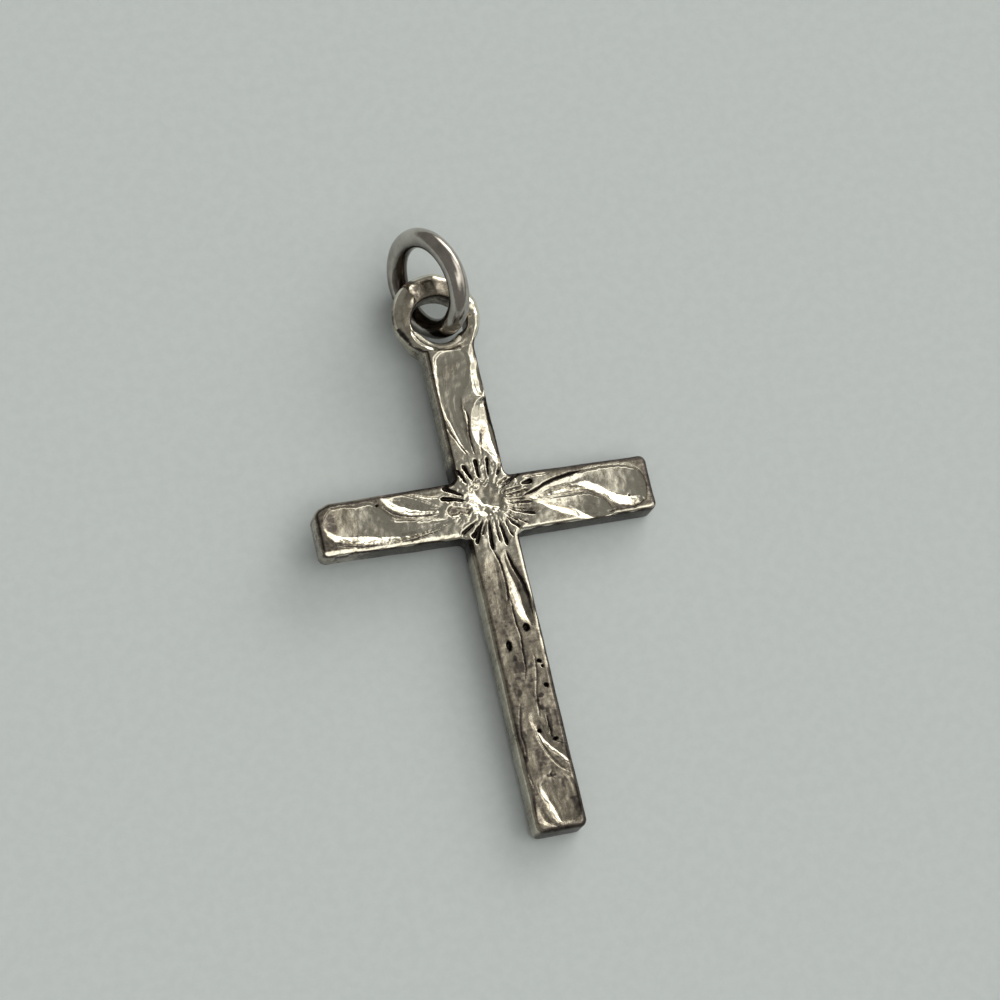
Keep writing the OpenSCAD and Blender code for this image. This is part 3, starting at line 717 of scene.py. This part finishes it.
def ring_mesh():
    """The jump ring, flat, darker on its inner side, with painted shade underneath."""
    bm = bmesh.new()
    dirt_and_painted_light_layer = bm.verts.layers.float.new("dirt")
    section = bmesh.ops.create_circle(bm, segments=WIRE_FACES, radius=WIRE_R)["verts"]
    bmesh.ops.rotate(bm, verts=section, cent=(0, 0, 0), matrix=Matrix.Rotation(pi / 2, 3, "X"))
    bmesh.ops.translate(bm, verts=section, vec=(RING_R, 0, 0))
    bmesh.ops.spin(bm, geom=bm.verts[:] + bm.edges[:], cent=(0, 0, 0), axis=(0, 0, 1), angle=2 * pi,
                   steps=RING_FACES, use_merge=True)
    bmesh.ops.recalc_face_normals(bm, faces=bm.faces)
    turn = ring_pose().to_3x3()
    for vert in bm.verts:
        middle = Vector((vert.co.x, vert.co.y, 0)).normalized() * RING_R
        out = (vert.co - middle) / WIRE_R
        uneven = hammered(vert.co, 0.7, 0.012) + hammered(vert.co, 0.2, 0.002)
        # Darker on the inner side, and painted shade where the wire faces down.
        inner, under = smooth(0.1, 0.9, -out.dot(middle) / RING_R), smooth(0.7, -0.1, (turn @ out).z)
        vert[dirt_and_painted_light_layer] = float(max(inner, 0.75 * under))
        vert.co = middle + out * (WIRE_R - 0.008 + uneven)
    for face in bm.faces:
        face.smooth = True
    return bm


def ring_pose():
    """Turn and lift that stand the flat ring in the eye, in millimetres."""
    opening = MOUNTS["chain_opening"]
    turn = Vector((0, 0, 1)).rotation_difference(Vector(opening["axis"])).to_matrix().to_4x4()
    return Matrix.Translation(Vector(opening["pos_m"]) / MM) @ turn


# ---------------------------------------------------------------- finishes

def add_node(tree, kind, settings=None, inputs=None):
    """One node: its settings first, then the values or links of its sockets."""
    node = tree.nodes.new(kind)
    for name, value in (settings or {}).items():
        if name == "stops":
            ramp = node.color_ramp.elements
            while len(ramp) < len(value):
                ramp.new(0.5)
            for stop, (place, colour) in zip(ramp, value):
                stop.position, stop.color = place, colour
        else:
            setattr(node, name, value)
    for name, value in (inputs or {}).items():
        if isinstance(value, Amount):
            value = value.socket
        if isinstance(value, bpy.types.NodeSocket):
            tree.links.new(value, node.inputs[name])
        else:
            node.inputs[name].default_value = value
    return node


class Amount:
    """A number that varies over a surface. Arithmetic on it adds Math nodes."""

    def __init__(self, socket):
        self.socket = socket

    def _math(self, operation, *values):
        tree = self.socket.id_data
        node = add_node(tree, "ShaderNodeMath", {"operation": operation}, dict(enumerate(values)))
        return Amount(node.outputs[0])

    def __add__(self, other):
        return self._math("ADD", self, other)

    __radd__ = __add__

    def __sub__(self, other):
        return self._math("SUBTRACT", self, other)

    def __rsub__(self, other):
        return self._math("SUBTRACT", other, self)

    def __mul__(self, other):
        return self._math("MULTIPLY", self, other)

    __rmul__ = __mul__

    def at_least(self, other):
        return self._math("MAXIMUM", self, other)

    def at_most(self, other):
        return self._math("MINIMUM", self, other)

    def rise(self, low, high):
        """0 below low, 1 above high, and smooth between."""
        node = add_node(self.socket.id_data, "ShaderNodeMapRange", {"interpolation_type": "SMOOTHSTEP"},
                        {"Value": self, "From Min": low, "From Max": high})
        return Amount(node.outputs["Result"])


def mix_colour(tree, share, first, second):
    node = add_node(tree, "ShaderNodeMix", {"data_type": "RGBA"}, {0: share, 6: first, 7: second})
    return node.outputs[2]


class Finish:
    """A material whose patterns are measured in millimetres on the piece."""

    def __init__(self, name):
        self.material = bpy.data.materials.new(name)
        self.material.use_nodes = True
        self.tree = self.material.node_tree
        self.shader = self.tree.nodes["Principled BSDF"]
        place = add_node(self.tree, "ShaderNodeTexCoord").outputs["Object"]
        self.place = add_node(self.tree, "ShaderNodeMapping", None,
                              {"Vector": place, "Scale": (1 / MM,) * 3}).outputs["Vector"]

    def grain(self, per_mm, detail, rough, twist=0.0, stretch=(1, 1, 1), place=None):
        """Noise of this many lumps to a millimetre, on the piece or along the given places."""
        place = place or self.place
        if stretch != (1, 1, 1):
            place = add_node(self.tree, "ShaderNodeMapping", None,
                             {"Vector": place, "Scale": stretch}).outputs["Vector"]
        node = add_node(self.tree, "ShaderNodeTexNoise", None,
                        {"Vector": place, "Scale": per_mm, "Detail": detail, "Roughness": rough,
                         "Distortion": twist})
        return Amount(node.outputs["Fac"])

    def layer(self, name):
        """A number kept at each point of the mesh."""
        return Amount(add_node(self.tree, "ShaderNodeAttribute", {"attribute_name": name}).outputs["Fac"])

    def bump(self, height, strength, depth_mm):
        node = add_node(self.tree, "ShaderNodeBump", None,
                        {"Height": height, "Strength": strength, "Distance": depth_mm * MM})
        return node.outputs["Normal"]

    def set(self, **sockets):
        for name, value in sockets.items():
            name = name.replace("_", " ").title()
            if isinstance(value, Amount):
                value = value.socket
            if isinstance(value, bpy.types.NodeSocket):
                self.tree.links.new(value, self.shader.inputs[name])
            else:
                self.shader.inputs[name].default_value = value


# Colours of the cross from polished to dirtiest; the darkest also serve as painted shade in nooks and creases
BRIGHT_SILVER = (0.80, 0.765, 0.65, 1)
WARM_SILVER = (0.54, 0.49, 0.395, 1)
TARNISH = (0.130, 0.114, 0.102, 1)
SOOT_AND_SHADE = (0.025, 0.020, 0.017, 1)


def tarnished_silver():
    finish = Finish("tarnished_silver")
    strokes = add_node(finish.tree, "ShaderNodeAttribute", {"attribute_name": "stroke"}).outputs["Vector"]
    # The dirt layer holds dirt together with painted shade and painted highlights.
    dirt = finish.layer("dirt")
    cloud = finish.grain(1.1, 4, 0.6)
    fine = finish.grain(7.0, 2, 0.5)
    blotch = finish.grain(3.2, 3, 0.65, twist=0.6)
    streaks = finish.grain(1.6, 3, 0.6, place=strokes, stretch=(0.6, 1, 1))
    patches = (fine - 0.5) * 0.4, (cloud - 0.5) * 0.6, (streaks - 0.5) * 0.5, (blotch - 0.5) * 0.7
    soil_and_painted_light = sum(patches, dirt) * 0.65
    stops = [(0.0, BRIGHT_SILVER), (0.24, WARM_SILVER), (0.50, TARNISH), (0.90, SOOT_AND_SHADE)]
    colour = add_node(finish.tree, "ShaderNodeValToRGB", {"stops": stops}, {"Fac": soil_and_painted_light}).outputs["Color"]
    finish.set(
        base_color=colour,
        metallic=1.0,
        # Bare metal, well below 0, is made rough and stays bright: a painted highlight.
        roughness=0.10 + 0.08 * cloud + 0.06 * fine.rise(0.4, 0.7) + 0.22 * soil_and_painted_light.rise(0.12, 0.55)
        + 0.35 * (soil_and_painted_light * -1).rise(0.2, 0.4),
        normal=finish.bump((fine * 0.8 + streaks * 0.6) * (0.35 + soil_and_painted_light.at_least(0)), 0.8, 0.010),
    )
    return finish.material


def dull_silver():
    finish = Finish("dull_silver")
    cloud = finish.grain(1.3, 4, 0.6)
    fine = finish.grain(9.0, 3, 0.6)
    # The dirt layer darkens the ring's inner side and paints shade underneath.
    soil_and_painted_light = (cloud.rise(0.35, 0.75) * 0.4 + finish.layer("dirt")).at_most(1)
    metal = mix_colour(finish.tree, soil_and_painted_light, (0.60, 0.565, 0.52, 1), (0.13, 0.112, 0.098, 1))
    finish.set(
        base_color=metal,
        metallic=1.0,
        roughness=0.10 + 0.12 * fine,
        normal=finish.bump(fine, 0.4, 0.008),
    )
    return finish.material


def pale_floor():
    finish = Finish("pale_floor")
    grain = finish.grain(2.2, 3, 0.6)
    colour = mix_colour(finish.tree, grain.rise(0.3, 0.7), (0.680, 0.745, 0.765, 1), (0.710, 0.775, 0.795, 1))
    finish.set(base_color=colour, roughness=0.6, normal=finish.bump(grain, 0.1, 0.02))
    finish.shader.inputs["Specular IOR Level"].default_value = 0.2
    return finish.material


# ---------------------------------------------------------------- room, floor and camera

FLOOR_HALF = 800  # millimetres

# The camera over the flat cross, in millimetres, and the two axes of its picture
CAMERA_PLACE = Vector((-32.034, -34.083, 113.223))
CAMERA_RIGHT, CAMERA_UP = Vector((0.9523, -0.2222, 0.2094)), Vector((0.1458, 0.9335, 0.3276))


def room_light():
    """A dim room with a bright window, a wide light above it and a weaker one beside it."""
    world = bpy.data.worlds.new("studio")
    bpy.context.scene.world = world
    world.use_nodes = True
    tree = world.node_tree
    tree.nodes.clear()
    towards = add_node(tree, "ShaderNodeTexCoord").outputs["Generated"]
    split = add_node(tree, "ShaderNodeSeparateXYZ", None, {0: towards}).outputs
    x, y, z = (Amount(socket) for socket in split)
    heading = y._math("ARCTAN2", y, x)
    height = z._math("ARCSINE", z)

    window = panel(heading, height, middle=45, half=27, low=13, high=39, soft=0.2)
    skylight = panel(heading, height, middle=-40, half=69, low=46, high=66, soft=0.35)
    beside = panel(heading, height, middle=-5, half=32, low=15, high=44, soft=0.25)
    strength = 0.19 + 2.9 * window + 1.5 * skylight + 0.6 * beside
    light = add_node(tree, "ShaderNodeBackground", None, {"Color": (1.0, 0.975, 0.90, 1), "Strength": strength})
    add_node(tree, "ShaderNodeOutputWorld", None, {"Surface": light.outputs[0]})


def overhead():
    """Soft lamp above that lightens the shadows on the floor."""
    lamp = bpy.data.lights.new("overhead", "SUN")
    lamp.energy, lamp.angle = 0.4, radians(70)
    lamp.color = (1.0, 0.975, 0.93)
    piece = bpy.data.objects.new("overhead", lamp)
    piece.rotation_euler = (radians(8), radians(10), 0)
    piece.visible_glossy = False
    bpy.context.scene.collection.objects.link(piece)


def panel(heading, height, middle, half, low, high, soft):
    """Share of a soft-edged panel of light in each direction. Angles are in degrees, the softness in radians."""
    off = heading - radians(middle)
    off = off._math("WRAP", off, pi, -pi)
    off = off._math("ABSOLUTE", off)
    side = 1 - off.rise(radians(half) - soft, radians(half) + soft)
    return (side * height.rise(radians(low) - soft / 2, radians(low) + soft / 2)
            * (1 - height.rise(radians(high) - soft / 2, radians(high) + soft / 2)))


def floor():
    bm = bmesh.new()
    bmesh.ops.create_grid(bm, x_segments=1, y_segments=1, size=FLOOR_HALF)
    piece = as_piece("floor", bm, Matrix.Identity(4), pale_floor())


def camera():
    """The camera, laid down with the cross."""
    right = CAMERA_RIGHT.normalized()
    up = (CAMERA_UP - right * CAMERA_UP.dot(right)).normalized()
    back = right.cross(up)
    lens = bpy.data.cameras.new("camera")
    lens.lens, lens.sensor_width = 108, 36
    lens.clip_start, lens.clip_end = 0.005, 10
    viewer = bpy.data.objects.new("camera", lens)
    stand = rest_pose() @ (Matrix.Translation(CAMERA_PLACE) @ Matrix((right, up, back)).transposed().to_4x4())
    stand.translation *= MM
    viewer.matrix_world = stand
    bpy.context.scene.collection.objects.link(viewer)
    bpy.context.scene.camera = viewer


cross = as_piece("cross_body", cross_mesh(), rest_pose(), tarnished_silver())
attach(cross, "root")
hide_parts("cross")

ring = as_piece("ring_wire", ring_mesh(), ring_pose(), dull_silver())
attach(ring, "root")
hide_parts("jump_ring")

room_light()
overhead()
floor()
camera()
bpy.context.scene.view_settings.view_transform = "Standard"
